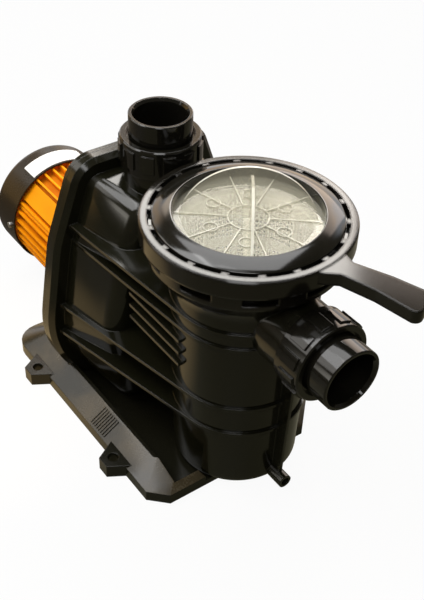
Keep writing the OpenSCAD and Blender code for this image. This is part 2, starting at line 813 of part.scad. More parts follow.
// Closed impeller: hub and back web, swept vanes, front shroud with its eye
module impeller() {
  hub_r = shaft_r + 4;
  sweep = 35;
  color(gloss) on_shaft(impeller_back) {
    ring(shaft_r, impeller_r, impeller_web);
    ring(shaft_r, hub_r, nut_x - impeller_back);
    for (i = [0:impeller_vanes - 1]) rotate(i * 360 / impeller_vanes)
      translate([eye_r, 0, impeller_web - 0.5]) rotate(sweep)
        translate([0, -1.2, 0]) cube([impeller_r - eye_r - 4, 2.4, vane_w + 1]);
    translate([0, 0, impeller_web + vane_w]) ring(eye_r, impeller_r, shroud_t);
    translate([0, 0, impeller_web + vane_w]) ring(eye_r, eye_r + eye_wall, eye_l + shroud_t);
  }
}

stud_r = 4;
module impeller_nut() {
  color(steel) on_shaft(nut_x) difference() {
    cylinder(r = shaft_r + 1.5, h = 7, $fn = 6);
    translate([0, 0, -cut]) cylinder(r = stud_r, h = 5 + cut);
  }
}

// Spinning half of the shaft seal
module seal_head() {
  color(steel) on_shaft(seal_x + 2 + face_gap) {
    ring(shaft_r, seal_pocket_r - 4, impeller_back - seal_x - 2 - face_gap);
  }
}

// Fixed ceramic seat pressed into the seal plate
module seal_seat() {
  color("#e8e4da") on_shaft(seal_x - 4) ring(shaft_r + 1.5, seal_pocket_r - seat_gap, 6);
}

module seal_plate() {
  color(black) difference() {
    union() {
      difference() {
        translate([plate_back, 0, 0]) hull() flange_discs(seal_plate_t, 0, 0);
        base_room();
      }
      on_shaft(flange_back - cut) cylinder(r = volute_r - seat_gap, h = plate_spigot_l + cut);
    }
    on_shaft(plate_back - cut) cylinder(r = shaft_r + 1.5, h = 40);
    on_shaft(seal_x - 4) cylinder(r = seal_pocket_r, h = 4 + cut);
    translate([plate_back - cut, 0, 0]) each_flange_bolt()
      cylinder(r = bolt_r + seat_gap, h = seal_plate_t + 2 * cut);
  }
}

module flange_o_ring() {
  color(rubber) on_shaft(flange_back + flange_seal_t / 2) o_ring(flange_seal_r, flange_seal_t);
}

module flange_bolts() {
  head_h = 5;
  color(steel) translate([plate_back, 0, 0]) each_flange_bolt() {
    translate([0, 0, -head_h]) cylinder(r = bolt_r * 1.9, h = head_h, $fn = 6);
    cylinder(r = bolt_r, h = seal_plate_t + flange_bolt_grip);
  }
}

// Motor

// End shield drawn with its disc's outer face at zero and its inside towards +Z
module end_shield(bearing_from) {
  spigot_l = 6;
  depth = bearing_from + bearing_w;
  difference() {
    union() {
      cylinder(r = shield_r, h = shield_t);
      cylinder(r = boss_r, h = depth);
      translate([0, 0, shield_t]) ring(motor_bore_r - 5, motor_bore_r - seat_gap, spigot_l);
    }
    translate([0, 0, -cut]) cylinder(r = shaft_r + 1.5, h = depth + 2 * cut);
    translate([0, 0, bearing_from]) cylinder(r = bearing_r + seat_gap / 2, h = bearing_w + cut);
    each_tie() translate([0, 0, -cut]) cylinder(r = tie_r + seat_gap, h = shield_t + 2 * cut);
    children();
  }
}
module each_tie() { for (a = [65, 115, 245, 295]) rotate(a) translate([tie_ring_r, 0, 0]) children(); }

module front_end_shield() {
  color(orange) on_shaft(plate_back) mirror([0, 0, 1])
    end_shield(shield_t + bearing_inset) translate([0, 0, -cut]) cylinder(r = shaft_r + 6, h = 3.5 + cut);
}

module slinger() {
  color(rubber) on_shaft(plate_back - 3) ring(shaft_r, shaft_r + 4.5, 2.4);
}

module bearing() {
  race = 3.2;
  shield_in = 0.8;
  rotate_extrude() polygon([
    [shaft_r + run_gap, 0], [shaft_r + race, 0], [shaft_r + race, shield_in], [bearing_r - race, shield_in],
    [bearing_r - race, 0], [bearing_r, 0], [bearing_r, bearing_w], [bearing_r - race, bearing_w],
    [bearing_r - race, bearing_w - shield_in], [shaft_r + race, bearing_w - shield_in],
    [shaft_r + race, bearing_w], [shaft_r + run_gap, bearing_w]
  ]);
}
module front_bearing() { color(steel) on_shaft(front_bearing_x - bearing_w) bearing(); }
module rear_bearing() { color(steel) on_shaft(rear_bearing_x) bearing(); }

module motor_shaft() {
  color(steel) {
    on_shaft(shaft_end) cylinder(r = shaft_r, h = nut_x - shaft_end);
    on_shaft(nut_x - cut) cylinder(r = stud_r, h = 5 + cut - 0.5);
  }
}

module rotor_core() {
  color(steel) on_shaft(stack_x - stack_l / 2) ring(shaft_r, rotor_r, stack_l);
}

module stator_core() {
  color("#6d6a66") on_shaft(stack_x - stack_l / 2) ring(rotor_r + 0.5, motor_bore_r - seat_gap / 2, stack_l);
}

module stator_windings() {
  color("#b5651d") for (x = [stack_x - stack_l / 2 - coil_l, stack_x + stack_l / 2])
    on_shaft(x) ring(rotor_r + 3, motor_bore_r - 3, coil_l);
}

// Finned barrel with a smooth pad each side above the middle
module motor_housing() {
  pad_w = 22;
  pad_r = fin_r - 3;
  clear_deg = 12;
  root = 1;
  end_gap = 1;
  run = motor_l - 2 * end_gap;
  color(orange) difference() {
    union() {
      on_shaft(motor_back) cylinder(r = motor_r, h = motor_l);
      on_shaft(motor_back + end_gap) {
        for (a = [0:fin_step:359]) if (min(abs(a - 90 - pad_deg), abs(a - 270 + pad_deg)) > clear_deg)
          rotate(a) translate([motor_r - root, -fin_t / 2, 0]) cube([fin_r - motor_r + root, fin_t, run]);
        for (a = [90 + pad_deg, 270 - pad_deg]) rotate(a)
          translate([motor_bore_r + root, -pad_w / 2, 0]) cube([pad_r - motor_bore_r - root, pad_w, run]);
      }
    }
    on_shaft(motor_back - cut) cylinder(r = motor_bore_r, h = motor_l + 2 * cut);
  }
}

module rear_end_shield() {
  color(orange) on_shaft(shield_back) difference() {
    union() {
      end_shield(shield_t + rear_bearing_x - motor_back);
      for (a = cover_screw_deg) rotate(a) translate([motor_r - 4, -cover_lug_w / 2, -cover_lug_t])
        cube([cover_lug_r - motor_r + 4, cover_lug_w, cover_lug_t + shield_t]);
    }
    each_cover_screw() cylinder(r = screw_r, h = 14);
  }
}

// Cover screws stand radially in lugs on the rear shield
cover_screw_deg = [0, 90, 270];
cover_lug_w = 12;
cover_lug_t = 6;
cover_lug_r = sqrt(pow(cover_in - seat_gap, 2) - pow(cover_lug_w / 2, 2));
module each_cover_screw() {
  for (a = cover_screw_deg) rotate(a)
    translate([cover_r, 0, (shield_t - cover_lug_t) / 2]) rotate([0, -90, 0]) children();
}

module through_bolts() {
  head_h = 3.5;
  color(steel) on_shaft(shield_back) each_tie() {
    translate([0, 0, -head_h]) cylinder(r = tie_r + 1.2, h = head_h, $fn = 6);
    cylinder(r = tie_r, h = motor_l + 2 * shield_t);
  }
}

module cooling_fan() {
  hub_r = shaft_r + 5;
  color(black) on_shaft(fan_x - fan_w) {
    ring(shaft_r, hub_r, fan_w);
    translate([0, 0, fan_w - 2.5]) ring(shaft_r, fan_r - 8, 2.5);
    for (i = [0:fan_blades - 1]) rotate(i * 360 / fan_blades)
      translate([hub_r - 1, -1.1, 0]) cube([fan_r - hub_r + 1, 2.2, fan_w]);
  }
}

// Fan cover: pressed cup with a slotted rear grille
module fan_cover() {
  round_r = 9;
  slots = 16;
  slot_w = 5;
  color(black) difference() {
    on_shaft() rotate_extrude() polygon(concat(
      [[0, cover_back]],
      arc([cover_r - round_r, cover_back + round_r], round_r, -90, 0),
      [[cover_r, cover_front], [cover_in, cover_front]],
      arc([cover_r - round_r, cover_back + round_r], round_r - cover_wall, 0, -90),
      [[0, cover_back + cover_wall]]
    ));
    on_shaft(cover_back - cut) for (i = [0:slots - 1]) rotate(i * 360 / slots)
      translate([16, -slot_w / 2, 0]) cube([cover_r - round_r - 18, slot_w, cover_wall + 2 * cut]);
    on_shaft(shield_back) each_cover_screw() translate([0, 0, -cut]) cylinder(r = screw_r + seat_gap, h = 6);
  }
}

module fan_cover_screws() {
  color(steel) on_shaft(shield_back) each_cover_screw() {
    translate([0, 0, -trim_head_h]) cylinder(r = trim_head_r, h = trim_head_h);
    cylinder(r = screw_r - seat_gap, h = cover_screw_l);
  }
}

// Blank curved plate riveted on top of the fan cover
module nameplate() {
  label_deg = 62;
  color("white") on_shaft(cover_front - label_inset - label_l) rotate(180 - label_deg / 2)
    rotate_extrude(angle = label_deg) translate([cover_r + label_gap, 0]) square([label_t, label_l]);
}

// Terminal box on the motor's far side

module on_box() { translate([box_x, 0, shaft_z]) children(); }
module each_box_screw() {
  for (sx = [-1, 1]) for (sz = [-1, 1])
    translate([sx * (box_l / 2 - 6), box_out, sz * (box_h / 2 - 6)]) rotate([90, 0, 0]) children();
}

module terminal_box() {
  seat_y = sqrt(fin_r * fin_r - pow(box_h / 2, 2));
  color(black) on_box() difference() {
    union() {
      difference() {
        translate([-box_l / 2, seat_y, -box_h / 2]) cube([box_l, box_out - seat_y, box_h]);
        translate([-box_l / 2 + box_wall, box_floor, -box_h / 2 + box_wall])
          cube([box_l - 2 * box_wall, box_out, box_h - 2 * box_wall]);
      }
      each_box_screw() cylinder(r = post_r, h = box_out - box_floor);
    }
    rotate([0, 90, 0]) cylinder(r = fin_r + seat_gap, h = 2 * box_l, center = true);
    each_box_screw() translate([0, 0, -cut]) cylinder(r = screw_r, h = 12 + cut);
    translate([-box_l / 2 - cut, box_gland_y, 0]) rotate([0, 90, 0])
      cylinder(r = gland_r + seat_gap, h = box_wall + 2 * cut);
  }
}

module terminal_box_gasket() {
  color(rubber) on_box() difference() {
    translate([-box_l / 2, box_out, -box_h / 2]) cube([box_l, box_gasket_t, box_h]);
    translate([-box_l / 2 + box_wall, box_out - cut, -box_h / 2 + box_wall])
      cube([box_l - 2 * box_wall, box_gasket_t + 2 * cut, box_h - 2 * box_wall]);
    each_box_screw() cylinder(r = post_r, h = 2 * box_gasket_t + cut, center = true);
  }
}

module terminal_box_lid() {
  color(black) on_box() difference() {
    translate([-box_l / 2, box_out + box_gasket_t, -box_h / 2]) cube([box_l, box_lid_t, box_h]);
    each_box_screw() translate([0, 0, -box_gasket_t - box_lid_t - cut])
      cylinder(r = screw_r + seat_gap, h = box_gasket_t + box_lid_t + cut);
  }
}

module terminal_box_screws() {
  color(steel) on_box() each_box_screw() {
    translate([0, 0, -box_gasket_t - box_lid_t]) {
      translate([0, 0, -trim_head_h]) cylinder(r = trim_head_r, h = trim_head_h);
      cylinder(r = screw_r - seat_gap, h = box_screw_l);
    }
  }
}

module terminal_block() {
  poles = 3;
  pitch = 9;
  block_l = poles * pitch + 1;
  block_h = 18;
  block_t = 12;
  color("#d8d8d0") on_box() translate([box_gap - box_l / 2, box_floor, -block_h / 2]) difference() {
    cube([block_l, block_t, block_h]);
    for (i = [0:poles - 1]) translate([pitch * (i + 0.5) + 0.5, block_t + cut, block_h / 2])
      rotate([90, 0, 0]) cylinder(r = 2.2, h = 6 + cut);
  }
}

module run_capacitor() {
  can_r = 8.5;
  can_h = box_h - 2 * box_wall - 12;
  can_x = box_l / 2 - box_wall - 2 * post_r - can_r - 2;
  color("#c9cdd2") on_box() translate([can_x, box_floor + can_r, -can_h / 2]) cylinder(r = can_r, h = can_h);
}

// Gland in the box's rear wall, and its nut inside
module cable_gland() {
  color(gloss) on_box() translate([-box_l / 2, box_gland_y, 0]) rotate([0, -90, 0]) difference() {
    union() {
      cylinder(r = gland_r + 3, h = 5, $fn = 6);
      translate([0, 0, -box_wall - gland_grip]) cylinder(r = gland_r, h = box_wall + gland_grip + 1);
      translate([0, 0, 5]) cylinder(r1 = gland_r + 1.5, r2 = gland_r - 2, h = 10);
    }
    translate([0, 0, -box_wall - gland_grip - cut]) cylinder(r = gland_r / 2, h = 30);
  }
}
module gland_nut() {
  color(gloss) on_box() translate([-box_l / 2 + box_wall, box_gland_y, 0]) rotate([0, 90, 0]) difference() {
    cylinder(r = gland_r + 3, h = 4, $fn = 6);
    translate([0, 0, -cut]) cylinder(r = gland_r + seat_gap, h = 4 + 2 * cut);
  }
}

base();
motor_saddle();
base_screws();
strainer_housing();
drain_plug();
strainer_basket();
basket_bail();
lid_o_ring();
lid_window();
lid_bezel();
lock_ring();
suction_tailpiece();
suction_o_ring();
suction_union_nut();
discharge_tailpiece();
discharge_o_ring();
discharge_union_nut();
diffuser();
impeller();
impeller_nut();
seal_head();
seal_seat();
seal_plate();
flange_o_ring();
flange_bolts();
front_end_shield();
slinger();
front_bearing();
rear_bearing();
motor_shaft();
rotor_core();
stator_core();
stator_windings();
motor_housing();
rear_end_shield();
through_bolts();
cooling_fan();
fan_cover();
fan_cover_screws();
nameplate();
terminal_box();
terminal_block();
run_capacitor();
terminal_box_gasket();
terminal_box_lid();
terminal_box_screws();
cable_gland();
gland_nut();
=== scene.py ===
import math

import bmesh
import bpy
from mathutils import Matrix, Vector


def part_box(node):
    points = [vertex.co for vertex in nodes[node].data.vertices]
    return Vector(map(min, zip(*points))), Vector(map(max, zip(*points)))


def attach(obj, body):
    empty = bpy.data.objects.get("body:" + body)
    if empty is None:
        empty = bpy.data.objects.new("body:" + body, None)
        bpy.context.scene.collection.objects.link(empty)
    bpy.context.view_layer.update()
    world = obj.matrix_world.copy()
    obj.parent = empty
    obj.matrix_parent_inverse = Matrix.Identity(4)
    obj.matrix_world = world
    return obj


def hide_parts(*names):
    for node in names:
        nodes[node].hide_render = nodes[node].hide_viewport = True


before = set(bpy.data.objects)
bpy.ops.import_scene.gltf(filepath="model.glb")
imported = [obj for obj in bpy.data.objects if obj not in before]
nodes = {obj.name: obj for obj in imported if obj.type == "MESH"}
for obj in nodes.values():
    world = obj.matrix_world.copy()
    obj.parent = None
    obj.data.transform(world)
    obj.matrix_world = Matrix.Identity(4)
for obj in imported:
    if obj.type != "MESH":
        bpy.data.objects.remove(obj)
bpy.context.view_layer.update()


# Base: one black glass-filled moulding that stands on the pad. Its satin skin
# carries a fine spark-eroded grain. Pale dust lies on the slopes together with a
# painted sheen, and flat tops get none, which keeps them dark as painted shade.
class Wire:
    """A socket in a material. Arithmetic on it adds Math nodes."""

    def __init__(self, tree, socket=None):
        self.tree, self.socket = tree, socket

    def node(self, kind, settings=None, inputs=None, output=0):
        made = self.tree.nodes.new(kind)
        for key, value in (settings or {}).items():
            setattr(made, key, value)
        for key, value in (inputs or {}).items():
            if isinstance(value, Wire):
                self.tree.links.new(value.socket, made.inputs[key])
            else:
                made.inputs[key].default_value = value
        return Wire(self.tree, made.outputs[output])

    def maths(self, operation, *values):
        return self.node("ShaderNodeMath", {"operation": operation}, dict(enumerate(values)))

    def __add__(self, other):
        return self.maths("ADD", self, other)

    def __sub__(self, other):
        return self.maths("SUBTRACT", self, other)

    def __rsub__(self, other):
        return self.maths("SUBTRACT", other, self)

    def __mul__(self, other):
        return self.maths("MULTIPLY", self, other)

    def __pow__(self, other):
        return self.maths("POWER", self, other)

    def __abs__(self):
        return self.maths("ABSOLUTE", self)

    __radd__ = __add__
    __rmul__ = __mul__

    def step(self, low, high):
        return self.node("ShaderNodeMapRange", {"interpolation_type": "SMOOTHSTEP"},
                         {"Value": self, "From Min": low, "From Max": high})

    def noise(self, scale, detail=3.0):
        return self.node("ShaderNodeTexNoise", None, {"Vector": self, "Scale": scale, "Detail": detail})

    def blend(self, first, second):
        first, second = [c if isinstance(c, Wire) else (*c, 1.0) for c in (first, second)]
        return self.node("ShaderNodeMix", {"data_type": "RGBA"}, {0: self, 6: first, 7: second}, 2)

    def axes(self):
        return [self.node("ShaderNodeSeparateXYZ", None, {0: self}, k) for k in range(3)]


def surface(name):
    material = bpy.data.materials.new(name)
    material.use_nodes = True
    tree = material.node_tree
    return material, Wire(tree), tree.nodes["Principled BSDF"]


def feed(shader, wires):
    for socket, wire in wires.items():
        wire.tree.links.new(wire.socket, shader.inputs[socket])


def relief(wire, height, strength, distance, edge=0.0):
    inputs = {"Height": height, "Strength": strength, "Distance": distance}
    if edge:
        inputs["Normal"] = wire.node("ShaderNodeBevel", {"samples": 4}, {"Radius": edge})
    return wire.node("ShaderNodeBump", None, inputs)


def shade(colour, factor):
    return tuple(c * factor for c in colour)


def moulded(name, colour, dust_sheen_colour, dust_and_sheen, rough, grain, edge, gloss=0.5):
    material, wire, shader = surface(name)
    shader.inputs["Specular IOR Level"].default_value = gloss
    at = wire.node("ShaderNodeTexCoord", output="Object")
    up = wire.node("ShaderNodeNewGeometry", output="Normal").axes()[2]
    cloud = at.noise(16.0, 4.0)
    speck = at.noise(520.0, 2.0)
    # Slopes take pale dust and a painted sheen; flat tops are left out, as painted shade.
    slope = up.step(0.25, 0.80) * (1.0 - up.step(0.93, 0.99))
    dust_and_sheen_mask = slope * cloud.step(0.32, 0.72) * (speck * 0.6 + 0.7) * dust_and_sheen
    skin = at.noise(1900.0, 2.0) + cloud * 0.4
    feed(shader, {
        "Base Color": dust_and_sheen_mask.blend(cloud.blend(colour, shade(colour, 1.25)), dust_sheen_colour),
        "Roughness": (cloud * 0.5 + speck * 0.3 + 0.6) * rough + dust_and_sheen_mask * 0.25,
        "Normal": relief(wire, skin, strength=grain, distance=0.0004, edge=edge)})
    return material


def carry(material, *names):
    for name in names:
        nodes[name].data.materials.clear()
        nodes[name].data.materials.append(material)


def placed(name, bm, material):
    mesh = bpy.data.meshes.new(name)
    bm.to_mesh(mesh)
    bm.free()
    mesh.materials.append(material)
    made = bpy.data.objects.new(name, mesh)
    bpy.context.scene.collection.objects.link(made)
    return made


def piece(name, bm, material, body, slot, *replaced, smooth=35):
    bmesh.ops.remove_doubles(bm, verts=bm.verts, dist=1e-6)
    bmesh.ops.recalc_face_normals(bm, faces=bm.faces)
    made = placed(name, bm, material)
    mesh = made.data
    if mesh.has_custom_normals:
        mesh.attributes.remove(mesh.attributes["custom_normal"])
    mesh.shade_smooth()
    mesh.set_sharp_from_angle(angle=math.radians(smooth))
    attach(made, body)
    if replaced:
        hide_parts(*replaced)
    return made


def smoothed(name, node, material, body, slot, angle):
    bm = bmesh.new()
    bm.from_mesh(nodes[node].data)
    return piece(name, bm, material, body, slot, node, smooth=angle)


base_black = moulded("base_black", colour=(0.0085, 0.0080, 0.0046), dust_sheen_colour=(0.20, 0.15, 0.08),
                     dust_and_sheen=0.34, rough=0.20, grain=0.06, edge=0.0012, gloss=0.42)
smoothed("base_moulding", "base", base_black, "pump", "housing_black", angle=22)


# Saddle and base screws: a black cradle between the rear deck and the motor, and
# two plated screws that hold the flange's foot to the rails from below.
def metal(name, colour, rough, streak):
    material, wire, shader = surface(name)
    at = wire.node("ShaderNodeTexCoord", output="Object")
    grain = wire.node("ShaderNodeMapping", None, {"Vector": at, "Scale": streak}).noise(90.0, 4.0)
    smudge = at.noise(45.0, 3.0)
    shader.inputs["Metallic"].default_value = 1.0
    feed(shader, {
        "Base Color": smudge.step(0.3, 0.8).blend(colour, shade(colour, 0.72)),
        "Roughness": grain * 0.16 + smudge * 0.10 + rough,
        "Normal": relief(wire, grain, strength=0.12, distance=0.0002, edge=0.0004)})
    return material


steel = metal("steel", colour=(0.62, 0.61, 0.59), rough=0.20, streak=(1.0, 9.0, 9.0))
carry(base_black, "motor_saddle")
carry(steel, "base_screws")


# Strainer and volute housing: pot, ribs, volute, necks and rear flange in one
# moulding. The drain plug is screwed into the spigot at the pot's foot.
housing_black = moulded("housing_black", colour=(0.0072, 0.0070, 0.0036), dust_sheen_colour=(0.15, 0.14, 0.11),
                        dust_and_sheen=0.11, rough=0.12, grain=0.04, edge=0.0012, gloss=0.46)
smoothed("pump_housing", "strainer_housing", housing_black, "pump", "housing_black", angle=32)
gloss_black = moulded("gloss_black", colour=(0.0062, 0.0058, 0.0042), dust_sheen_colour=(0.14, 0.12, 0.09),
                      dust_and_sheen=0.04, rough=0.07, grain=0.02, edge=0.0009)
carry(gloss_black, "drain_plug")


# Basket: a thin cream polypropylene cup with square perforations between its
# ribs, an open inlet towards the suction neck, and a flat rim on the ledge.
def turn(bm, profile, steps, closed=True):
    line = [bm.verts.new((r, 0.0, z)) for r, z in profile]
    pairs = list(zip(line, line[1:] + line[:1]))
    edges = [bm.edges.new(pair) for pair in (pairs if closed else pairs[:-1])]
    bmesh.ops.spin(bm, geom=line + edges, cent=(0, 0, 0), axis=(0, 0, 1), dvec=(0, 0, 0),
                   angle=math.tau, steps=steps, use_merge=True)


def about(degrees):
    return Matrix.Rotation(math.radians(degrees), 4, "Z")


def polypropylene(name, colour):
    material, wire, shader = surface(name)
    at = wire.node("ShaderNodeTexCoord", output="Object")
    cloud = at.noise(30.0, 4.0)
    shader.inputs["Subsurface Weight"].default_value = 0.25
    shader.inputs["Subsurface Radius"].default_value = (0.008, 0.007, 0.004)
    feed(shader, {
        "Base Color": cloud.blend(colour, shade(colour, 0.92)),
        "Roughness": cloud * 0.15 + 0.36,
        "Normal": relief(wire, at.noise(900.0, 2.0), strength=0.12, distance=0.0003, edge=0.0006)})
    return material


cream = polypropylene("basket_cream", (0.82, 0.79, 0.67))
basket_low, basket_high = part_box("strainer_basket")
bail_low, bail_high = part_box("basket_bail")
pot_axis = Vector(((bail_low.x + bail_high.x) / 2, 0.0, 0.0))
inlet_z = sum(corner.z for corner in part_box("suction_tailpiece")) / 2
inlet_r, inlet_margin, inlet_half_angle = 0.0295, 0.036, 20
foot_r, mouth_r, rim_r, rim_t, sole_t = 0.0550, 0.0618, 0.0700, 0.003, 0.0012
floor_z, ledge = basket_low.z + sole_t, basket_high.z - rim_t
wall_t, hole_web, sieve_web, plate_gap = 0.0016, 0.0008, 0.0007, 0.0005
rows, columns, sole_cells = 30, 96, 34
rows_per_band, columns_per_bay = 10, 8


def from_inlet(spot):
    return (spot.yz - Vector((0.0, inlet_z))).length if spot.x > 0 else math.inf


bm = bmesh.new()
rise = [k / rows for k in range(rows + 1)]
wall = [(foot_r + (mouth_r - foot_r) * k, floor_z + (ledge - floor_z) * k) for k in rise]
turn(bm, wall, steps=columns, closed=False)
inlet = [f for f in bm.faces if from_inlet(f.calc_center_median()) < inlet_r]
bmesh.ops.delete(bm, geom=inlet, context="FACES")
holes = []
for face in bm.faces:
    spot = face.calc_center_median()
    column = int(math.atan2(spot.y, spot.x) % math.tau / math.tau * columns)
    row = int((spot.z - floor_z) / (ledge - floor_z) * rows)
    in_bay = column % columns_per_bay and row % rows_per_band not in (0, rows_per_band - 1)
    if in_bay and from_inlet(spot) >= inlet_margin:
        holes.append(face)
bmesh.ops.inset_individual(bm, faces=holes, thickness=hole_web)
bmesh.ops.delete(bm, geom=holes, context="FACES")
grid = bmesh.ops.create_grid(bm, x_segments=sole_cells, y_segments=sole_cells, size=foot_r,
                             matrix=Matrix.Translation((0, 0, floor_z)))["verts"]
plate = list({f for v in grid for f in v.link_faces})
outside = [f for f in plate if max(v.co.xy.length for v in f.verts) > foot_r - plate_gap]
bmesh.ops.delete(bm, geom=outside, context="FACES")
sieve_r, cross = 0.050, 0.004
sieve = []
for face in plate:
    if face.is_valid:
        spot = face.calc_center_median()
        if spot.xy.length < sieve_r and min(abs(spot.x), abs(spot.y)) > cross:
            sieve.append(face)
bmesh.ops.inset_individual(bm, faces=sieve, thickness=sieve_web)
bmesh.ops.delete(bm, geom=sieve, context="FACES")
bmesh.ops.recalc_face_normals(bm, faces=bm.faces)
bmesh.ops.solidify(bm, geom=bm.faces[:], thickness=wall_t)
sole_inner, sole_top, sole_flare = 0.049, floor_z + 0.002, 0.0006
turn(bm, [(sole_inner, basket_low.z), (foot_r, basket_low.z), (foot_r + sole_flare, sole_top),
          (sole_inner, sole_top)], steps=columns)
rim_inner = mouth_r - wall_t
turn(bm, [(rim_inner, ledge), (rim_r, ledge), (rim_r, basket_high.z), (rim_inner, basket_high.z)],
     steps=columns)
ribs, rib_r, rib_low, rib_high = 12, 0.0570, basket_low.z + 0.001, ledge - 0.003
rib_size, rib_place = (0.0055, 0.0016, rib_high - rib_low, 1), (rib_r, 0, (rib_low + rib_high) / 2)
for k in range(ribs):
    bearing = k * 360 / ribs
    if min(bearing, 360 - bearing) > inlet_half_angle:
        turned = about(bearing + 180 / columns)
        bmesh.ops.create_cube(bm, matrix=turned @ Matrix.Translation(rib_place) @ Matrix.Diagonal(rib_size))
bmesh.ops.translate(bm, verts=bm.verts, vec=pot_axis)
piece("basket", bm, cream, "pump", "cream", "strainer_basket")
# The bail is the basket's cream plastic, painted darker as painted shade because it sits nearer the light.
carry(polypropylene("bail_cream_painted_darker", (0.52, 0.50, 0.41)), "basket_bail")


# Lid seal: a round ring of black rubber. It lies loose in the groove round the
# collar's top, and the clear cover presses on it.
rubber, wire, shader = surface("rubber")
at = wire.node("ShaderNodeTexCoord", output="Object")
bloom = at.noise(60.0, 4.0)
feed(shader, {
    "Base Color": bloom.blend((0.012, 0.012, 0.012), (0.035, 0.034, 0.032)),
    "Roughness": bloom * 0.2 + 0.55,
    "Normal": relief(wire, at.noise(1400.0, 3.0), strength=0.25, distance=0.0003)})
carry(rubber, "lid_o_ring")


# Clear cover: a moulded polycarbonate disc with two crossed grip vanes and low
# stiffening ribs. It lies on the seal, and the bezel clamps its margin.
lid_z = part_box("lid_window")[0].z
window_r, window_t, window_edge = 0.072, 0.005, 0.0006
window_top = lid_z + window_t
clear, wire, shader = surface("clear")
at = wire.node("ShaderNodeTexCoord", output="Object")
height = at.axes()[2]
haze = at.noise(38.0, 4.0)
scratch = wire.node("ShaderNodeMapping", None, {"Vector": at, "Scale": (1.0, 14.0, 1.0)}).noise(70.0, 5.0)
outer = 1.0 - wire.node("ShaderNodeNewGeometry", output="Backfacing")
grazing = wire.node("ShaderNodeLayerWeight", None, {"Blend": 0.30}, "Fresnel") * outer * 0.4
facing = abs(wire.node("ShaderNodeNewGeometry", output="True Normal").axes()[2])
# Raised vanes, ribs and beads are painted paler, and their up-facing tops carry a painted highlight, paler
# and more opaque, strongest high on the vanes.
standing = height.step(window_top + 0.0002, window_top + 0.0010)
tall = height.step(window_top + 0.0025, window_top + 0.0050)
painted_top_highlight = standing * facing.step(0.25, 0.6) * (tall * 0.25 + 0.75)
milky = haze.blend((0.50, 0.48, 0.40), (0.58, 0.56, 0.47))
feed(shader, {
    "Base Color": (standing * 0.6 + painted_top_highlight * 0.4).blend(milky, (0.90, 0.88, 0.78)),
    "Roughness": haze * 0.10 + 0.04,
    "Normal": relief(wire, haze + scratch * 0.3, strength=0.10, distance=0.0006)})
through = wire.node("ShaderNodeBsdfTransparent", None, {"Color": (1.0, 1.0, 0.97, 1)})
gleam = wire.node("ShaderNodeBsdfAnisotropic", None, {"Color": (1, 1, 1, 1), "Roughness": 0.06})
skin = wire.node("ShaderNodeMixShader", None, {0: grazing, 1: through, 2: gleam})
milk = wire.maths("MINIMUM", scratch.step(0.55, 0.8) * 0.05 + 0.27 - standing * 0.02 + painted_top_highlight * 0.32, 1.0)
body = Wire(clear.node_tree, shader.outputs[0])
feed(clear.node_tree.nodes["Material Output"],
     {"Surface": wire.node("ShaderNodeMixShader", None, {0: milk, 1: skin, 2: body})})


def add(bm, part, matrix):
    bmesh.ops.transform(part, verts=part.verts, matrix=matrix)
    spare = bpy.data.meshes.new("spare")
    part.to_mesh(spare)
    part.free()
    bm.from_mesh(spare)
    bpy.data.meshes.remove(spare)


def soften(made, width, segments=3):
    edge = made.modifiers.new("soft_edges", "BEVEL")
    edge.width, edge.segments = width, segments
    edge.limit_method, edge.angle_limit = "ANGLE", math.radians(28)
    edge.harden_normals = True


bm = bmesh.new()
turn(bm, [(0.0, lid_z), (window_r - window_edge, lid_z), (window_r, lid_z + window_edge),
          (window_r, window_top - window_edge), (window_r - window_edge, window_top), (0.0, window_top)],
     steps=96, closed=False)
reach, vane_t, sunk = 0.0598, 0.0024, 0.0005
for degrees, vane_h in ((-37.0, 0.030), (53.0, 0.050)):
    arch_r = (reach * reach + vane_h * vane_h) / (2 * vane_h)
    vane = bmesh.new()
    sheet = bmesh.ops.create_grid(vane, x_segments=48, y_segments=8, size=1.0)["verts"]
    for vert in sheet:
        along = vert.co.x * reach
        top = math.sqrt(arch_r * arch_r - along * along) + vane_h - arch_r
        vert.co = (along, 0.0, window_top - sunk + (top + sunk) * (vert.co.y + 1) / 2)
    vane.normal_update()
    bmesh.ops.solidify(vane, geom=vane.faces[:], thickness=vane_t)
    bmesh.ops.translate(vane, verts=vane.verts, vec=(0, vane_t / 2, 0))
    add(bm, vane, about(degrees))
ribs, first_rib = 10, 14
rib_size, rib_place = (0.046, 0.0010, 0.0016, 1), (0.041, 0, window_top + 0.0006)
for k in range(ribs):
    turned = about(k * 360 / ribs + first_rib)
    bmesh.ops.create_cube(bm, matrix=turned @ Matrix.Translation(rib_place) @ Matrix.Diagonal(rib_size))


def bead(inner_r, outer_r, high, low=-0.0002):
    return [(inner_r, low), (inner_r, high), (outer_r, high), (outer_r, low)]


marks, first_mark, mark_place = 6, 20, (0.036, 0, window_top)
for k in range(marks):
    mark = bmesh.new()
    turn(mark, bead(inner_r=0.0059, outer_r=0.0067, high=0.0013), steps=40)
    add(bm, mark, about(k * 360 / marks + first_mark) @ Matrix.Translation(mark_place))
hub = bmesh.new()
turn(hub, bead(inner_r=0.0175, outer_r=0.0185, high=0.0012), steps=64)
add(bm, hub, Matrix.Translation((0, 0, window_top)))
bmesh.ops.translate(bm, verts=bm.verts, vec=pot_axis)
soften(piece("clear_cover", bm, clear, "lid", "clear", "lid_window"), 0.0003, segments=2)


